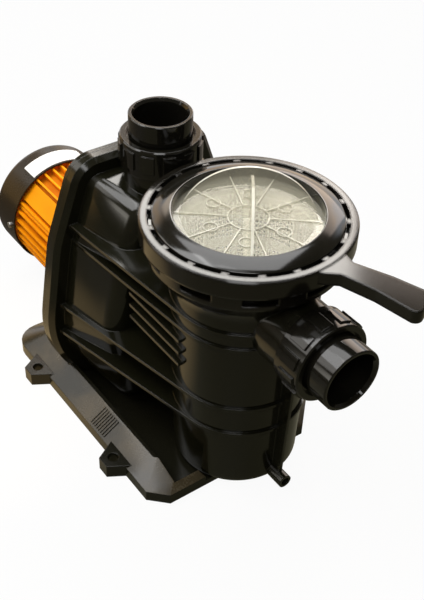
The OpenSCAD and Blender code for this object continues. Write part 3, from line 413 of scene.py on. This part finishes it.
# Bezel: a glossy black moulded ring that clamps the cover's margin, with a sloped
# face and a rounded inner lip. Its thin foot lies under the lock ring's tabs.
bezel_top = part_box("lid_bezel")[1].z
seat_gap = 0.0002
foot_out, face_out, face_in, well_r = 0.0860, 0.0828, 0.0658, window_r + seat_gap
foot_top, edge_top, clamp_z = lid_z + 0.004, lid_z + 0.0096, window_top + seat_gap
nose_w, nose_h, lip_w, lip_round = 0.0010, 0.0009, 0.0016, 0.0006
bezel_black = moulded("bezel_black", colour=(0.0062, 0.0058, 0.0042), dust_sheen_colour=(0.14, 0.12, 0.09),
                      dust_and_sheen=0.03, rough=0.12, grain=0.02, edge=0.0, gloss=0.60)
bm = bmesh.new()
turn(bm, [(well_r, lid_z), (foot_out, lid_z), (foot_out, foot_top), (face_out, foot_top),
          (face_out, edge_top), (face_out - nose_w, edge_top + nose_h), (face_in + lip_w, bezel_top),
          (face_in + lip_round, bezel_top), (face_in, bezel_top - lip_round),
          (face_in, clamp_z), (well_r, clamp_z)], steps=144)
bmesh.ops.translate(bm, verts=bm.verts, vec=pot_axis)
soften(piece("bezel", bm, bezel_black, "lid", "gloss_black", "lid_bezel"), 0.0005)


# Lock ring: black moulding with a windowed skirt, hold-down tabs and one long
# lever. It turns round the collar.
ring_black = moulded("ring_black", colour=(0.0066, 0.0058, 0.0042), dust_sheen_colour=(0.14, 0.12, 0.09),
                     dust_and_sheen=0.05, rough=0.12, grain=0.02, edge=0.0030)
carry(ring_black, "lock_ring")


# Unions: glossy nuts with moulded grip pads draw the glue-in tailpieces onto
# rubber seals on the necks.
carry(gloss_black, "suction_tailpiece", "discharge_tailpiece", "suction_union_nut", "discharge_union_nut")
carry(rubber, "suction_o_ring", "discharge_o_ring")


# Wet end: diffuser, impeller, its nut and the shaft seal. The seal plate closes
# it, bolted to the flange over a rubber ring, with a rubber slinger behind.
glass_filled = moulded("glass_filled", colour=(0.030, 0.029, 0.027), dust_sheen_colour=(0.15, 0.14, 0.12),
                       dust_and_sheen=0.05, rough=0.38, grain=0.25, edge=0.0006)
ceramic = moulded("ceramic", colour=(0.72, 0.70, 0.66), dust_sheen_colour=(0.60, 0.57, 0.50),
                  dust_and_sheen=0.10, rough=0.18, grain=0.06, edge=0.0003)
carry(glass_filled, "diffuser", "impeller")
carry(steel, "impeller_nut", "seal_head", "flange_bolts")
carry(ceramic, "seal_seat")
smoothed("seal_plate_disc", "seal_plate", housing_black, "pump", "housing_black", angle=30)
carry(rubber, "flange_o_ring", "slinger")


# Motor: enamelled aluminium housing and end shields round a laminated stator. The
# rotor and shaft run on two ball bearings, and four through bolts tie it together.
def enamel(name, colour, root_shade_colour, rough):
    shaft_low, shaft_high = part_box("motor_shaft")
    shaft_z, shaded_r, unshaded_r = (shaft_low.z + shaft_high.z) / 2, 0.0555, 0.0615
    material, wire, shader = surface(name)
    at = wire.node("ShaderNodeTexCoord", output="Object")
    y, z = at.axes()[1:]
    # Painted shade: the orange darkens, partly in patches, towards the housing's root between the fins.
    root = 1.0 - ((y ** 2.0 + (z - shaft_z) ** 2.0) ** 0.5).step(shaded_r, unshaded_r)
    cloud = at.noise(26.0, 4.0)
    peel = at.noise(620.0, 2.0)
    shader.inputs["Specular IOR Level"].default_value = 0.10
    feed(shader, {
        "Base Color": (root * 0.55 + root * cloud.step(0.4, 0.75) * 0.35).blend(
            cloud.blend(colour, shade(colour, 0.88)), root_shade_colour),
        "Roughness": cloud * 0.10 + root * 0.15 + rough,
        "Normal": relief(wire, peel + cloud * 0.5, strength=0.12, distance=0.0004, edge=0.0008)})
    return material


orange = enamel("motor_orange", colour=(1.0, 0.36, 0.004), root_shade_colour=(0.50, 0.12, 0.002), rough=0.34)
core_steel, wire, shader = surface("core_steel")
at = wire.node("ShaderNodeTexCoord", output="Object")
laminate = wire.node("ShaderNodeTexWave", {"bands_direction": "X"},
                     {"Vector": at, "Scale": 320.0, "Distortion": 0.4})
tarnish = at.noise(40.0, 4.0)
shader.inputs["Metallic"].default_value = 0.9
feed(shader, {
    "Base Color": (laminate * 0.6 + tarnish * 0.4).blend((0.14, 0.135, 0.13), (0.36, 0.35, 0.34)),
    "Roughness": laminate * 0.15 + tarnish * 0.15 + 0.30,
    "Normal": relief(wire, laminate, strength=0.3, distance=0.0002)})
copper, wire, shader = surface("copper")
at = wire.node("ShaderNodeTexCoord", output="Object")
strands = wire.node("ShaderNodeTexWave", {"wave_type": "RINGS", "rings_direction": "X"},
                    {"Vector": at, "Scale": 260.0, "Distortion": 1.2})
shader.inputs["Metallic"].default_value = 0.85
feed(shader, {
    "Base Color": strands.blend((0.30, 0.09, 0.03), (0.78, 0.34, 0.14)),
    "Roughness": strands * 0.15 + 0.25,
    "Normal": relief(wire, strands, strength=0.5, distance=0.0005)})
carry(orange, "motor_housing", "front_end_shield", "rear_end_shield", "through_bolts")
carry(steel, "front_bearing", "rear_bearing", "motor_shaft")
carry(core_steel, "rotor_core", "stator_core")
carry(copper, "stator_windings")


# Fan end: moulded fan on the shaft, under a drawn cover with a rear grille. Small
# screws hold the cover to the shield, and a blank white plate follows its curve.
cover_grey = moulded("cover_grey", colour=(0.014, 0.010, 0.006), dust_sheen_colour=(0.12, 0.09, 0.06),
                     dust_and_sheen=0.08, rough=0.26, grain=0.06, edge=0.0010, gloss=0.30)
plate_white, wire, shader = surface("plate_white")
at = wire.node("ShaderNodeTexCoord", output="Object")
yellowing = at.noise(35.0, 4.0)
feed(shader, {
    "Base Color": yellowing.blend((0.84, 0.84, 0.83), (0.76, 0.75, 0.72)),
    "Roughness": yellowing * 0.15 + 0.30,
    "Normal": relief(wire, at.noise(800.0, 2.0), strength=0.06, distance=0.0002, edge=0.0004)})
carry(glass_filled, "cooling_fan")
carry(cover_grey, "fan_cover")
carry(plate_white, "nameplate")
carry(steel, "fan_cover_screws")


# Terminal box: moulded box on the motor's far side with the run capacitor and
# terminal block, closed by a screwed lid, and a cable gland in its rear wall.
carry(housing_black, "terminal_box", "terminal_box_lid")
carry(rubber, "terminal_box_gasket")
carry(cream, "terminal_block")
carry(glass_filled, "cable_gland", "gland_nut")
carry(plate_white, "run_capacitor")
carry(steel, "terminal_box_screws")


# Floor and surroundings: a pale floor that keeps the object's shadow, and a
# white world. Both show as white to the camera and in glass.
def seen(wire):
    looked = wire.node("ShaderNodeLightPath", output="Is Camera Ray")
    for ray in ("Is Glossy Ray", "Is Transmission Ray"):
        looked = wire.maths("MAXIMUM", looked, wire.node("ShaderNodeLightPath", output=ray))
    return looked


def staged(name, bm, material):
    made = placed(name, bm, material)
    return made


pale, wire, shader = surface("floor")
shader.inputs["Base Color"].default_value = (0.80, 0.80, 0.80, 1)
shader.inputs["Roughness"].default_value = 0.9
matt = Wire(pale.node_tree, shader.outputs[0])
white = wire.node("ShaderNodeEmission", None, {"Color": (1, 1, 1, 1), "Strength": 1.0})
feed(pale.node_tree.nodes["Material Output"],
     {"Surface": wire.node("ShaderNodeMixShader", None, {0: seen(wire) * 0.94, 1: matt, 2: white})})
bm = bmesh.new()
bmesh.ops.create_grid(bm, x_segments=1, y_segments=1, size=6.0)
staged("floor", bm, pale)

world = bpy.data.worlds.new("surroundings")
world.use_nodes = True
bpy.context.scene.world = world
world.node_tree.nodes.remove(world.node_tree.nodes["Background"])
wire = Wire(world.node_tree)
dim, bright = [wire.node("ShaderNodeBackground", None, {"Color": (1, 1, 1, 1), "Strength": strength})
               for strength in (0.15, 1.0)]
feed(world.node_tree.nodes["World Output"],
     {"Surface": wire.node("ShaderNodeMixShader", None, {0: seen(wire), 1: dim, 2: bright})})


# Screens: out of the camera's sight, a wall round the set glows in painted patches
# that give the mouldings patchy warm reflections, and a dark card keeps the floor out
# of them. The card glows too, dimly, with a warm painted pool of light at the pump's left.
wall_r, wall_h = 1.9, 2.3
dark_wall, wire, shader = surface("screen_wall")
at = wire.node("ShaderNodeTexCoord", output="Object")
x, y, z = at.axes()


def towards(azimuth, spread, blur=4):
    turned = math.radians(azimuth)
    across = x * math.cos(turned) + y * math.sin(turned)
    return across.step(*[wall_r * math.cos(math.radians(spread + side)) for side in (blur, -blur)])


# Glowing patches painted on the wall, each standing in for a light or a lit surface; they show only as
# reflections.
behind = towards(143, 50) * (1.0 - z.step(1.2, 1.8))
earth = towards(-148, 24) * (1.0 - z.step(0.6, 1.1))
opening = towards(-106, 8) * z.step(0.30, 0.42) * (1.0 - z.step(0.8, 1.0))
lantern = towards(161, 6) * z.step(1.10, 1.25) * (1.0 - z.step(1.55, 1.70))
patch = at.noise(1.1, 3.0).step(0.38, 0.62)
glow = behind.blend((0.008, 0.007, 0.004), patch.blend((0.56, 0.41, 0.27), (0.34, 0.37, 0.41)))
glow = earth.blend(glow, (0.28, 0.17, 0.056))
glow = opening.blend(glow, (1.0, 0.96, 0.86))
glow = lantern.blend(glow, (1.0, 0.84, 0.68))
shader.inputs["Base Color"].default_value = (0.03, 0.027, 0.022, 1)
shader.inputs["Emission Strength"].default_value = 3.4
feed(shader, {"Emission Color": glow})
bm = bmesh.new()
bmesh.ops.create_circle(bm, cap_ends=False, segments=64, radius=wall_r)
raised = bmesh.ops.extrude_edge_only(bm, edges=bm.edges[:])["geom"]
brim = [v for v in raised if isinstance(v, bmesh.types.BMVert)]
bmesh.ops.translate(bm, verts=brim, vec=(0, 0, wall_h))
bmesh.ops.contextual_create(bm, geom=brim)
screen_wall = staged("screen_wall", bm, dark_wall)

card_r, card_z = wall_r - 0.02, 0.0004
pool_x, pool_y = -0.12, -0.19
card, wire, shader = surface("floor_card")
at = wire.node("ShaderNodeTexCoord", output="Object")
x, y = at.axes()[:2]
# A warm painted pool of light on the card at the pump's left, and a dim glow elsewhere; it also faintly
# lights the floor under it.
spot = 1.0 - ((x - pool_x) ** 2.0 + (y - pool_y) ** 2.0).step(0.012, 0.05)
ground_glow = x.step(-0.12, 0.06).blend((0.02, 0.018, 0.010), (0.10, 0.096, 0.052))
shader.inputs["Base Color"].default_value = (0.03, 0.025, 0.018, 1)
shader.inputs["Emission Strength"].default_value = 1.0
feed(shader, {"Emission Color": spot.blend(
    ground_glow, at.noise(3.0, 3.0).blend((0.74, 0.53, 0.24), (0.44, 0.32, 0.14)))})
bm = bmesh.new()
bmesh.ops.create_circle(bm, cap_ends=True, segments=64, radius=card_r,
                        matrix=Matrix.Translation((0, 0, card_z)))
floor_card = staged("floor_card", bm, card)
for hidden in (screen_wall, floor_card):
    hidden.visible_camera = hidden.visible_shadow = False


# Lamps and camera: soft area lamps overhead, at the left and in front, a warm one
# behind, and the camera at the photo's place and angle.
def lamp(name, place, target, size, power, colour=(1, 1, 1)):
    data = bpy.data.lights.new(name, "AREA")
    data.shape, data.energy, data.color = "RECTANGLE", power, colour
    data.size, data.size_y = size
    made = bpy.data.objects.new(name, data)
    aim = (Vector(target) - Vector(place)).to_track_quat("-Z", "Y")
    made.matrix_world = Matrix.Translation(place) @ aim.to_matrix().to_4x4()
    bpy.context.scene.collection.objects.link(made)


warm_white, peach = (1.0, 0.97, 0.92), (1.0, 0.84, 0.74)
lamp("overhead", (-0.38, 0.28, 2.0), (0, 0, 0.15), size=(1.4, 1.4), power=24)
lamp("back_left", (-1.12, 0.88, 1.46), (0.1, 0, 0.28), size=(0.8, 0.42), power=10, colour=warm_white)
lamp("left", (-1.12, -1.06, 1.26), (0, 0, 0.15), size=(1.2, 0.7), power=6, colour=warm_white)
lamp("top_left", (-0.55, -0.8, 1.8), (0, 0, 0.15), size=(1.0, 1.0), power=16)
lamp("front_soft", (0.15, -0.43, 1.88), (0.1, -0.1, 0), size=(0.6, 0.6), power=1.6)
lamp("front_top", (0.95, -0.75, 1.7), (0.1, 0, 0.2), size=(0.7, 0.7), power=8)
lamp("warm_rim", (-0.7, 1.35, 1.0), (0.1, 0, 0.25), size=(0.9, 0.9), power=5.5, colour=peach)

yaw, pitch, roll = math.radians(52.9), math.radians(39.7), math.radians(2.3)
camera_place = (0.6723, -0.4547, 0.7833)
back = Vector((math.sin(yaw) * math.cos(pitch), -math.cos(yaw) * math.cos(pitch), math.sin(pitch)))
level = Vector((math.cos(yaw), math.sin(yaw), 0.0))
above = back.cross(level)
right = level * math.cos(roll) + above * math.sin(roll)
upward = above * math.cos(roll) - level * math.sin(roll)
camera = bpy.data.objects.new("photo_camera", bpy.data.cameras.new("photo_camera"))
camera.data.lens, camera.data.sensor_width = 61.28, 36.0
camera.matrix_world = Matrix.Translation(camera_place) @ Matrix((right, upward, back)).transposed().to_4x4()
bpy.context.scene.collection.objects.link(camera)
bpy.context.scene.camera = camera
bpy.context.scene.view_settings.view_transform = "Standard"
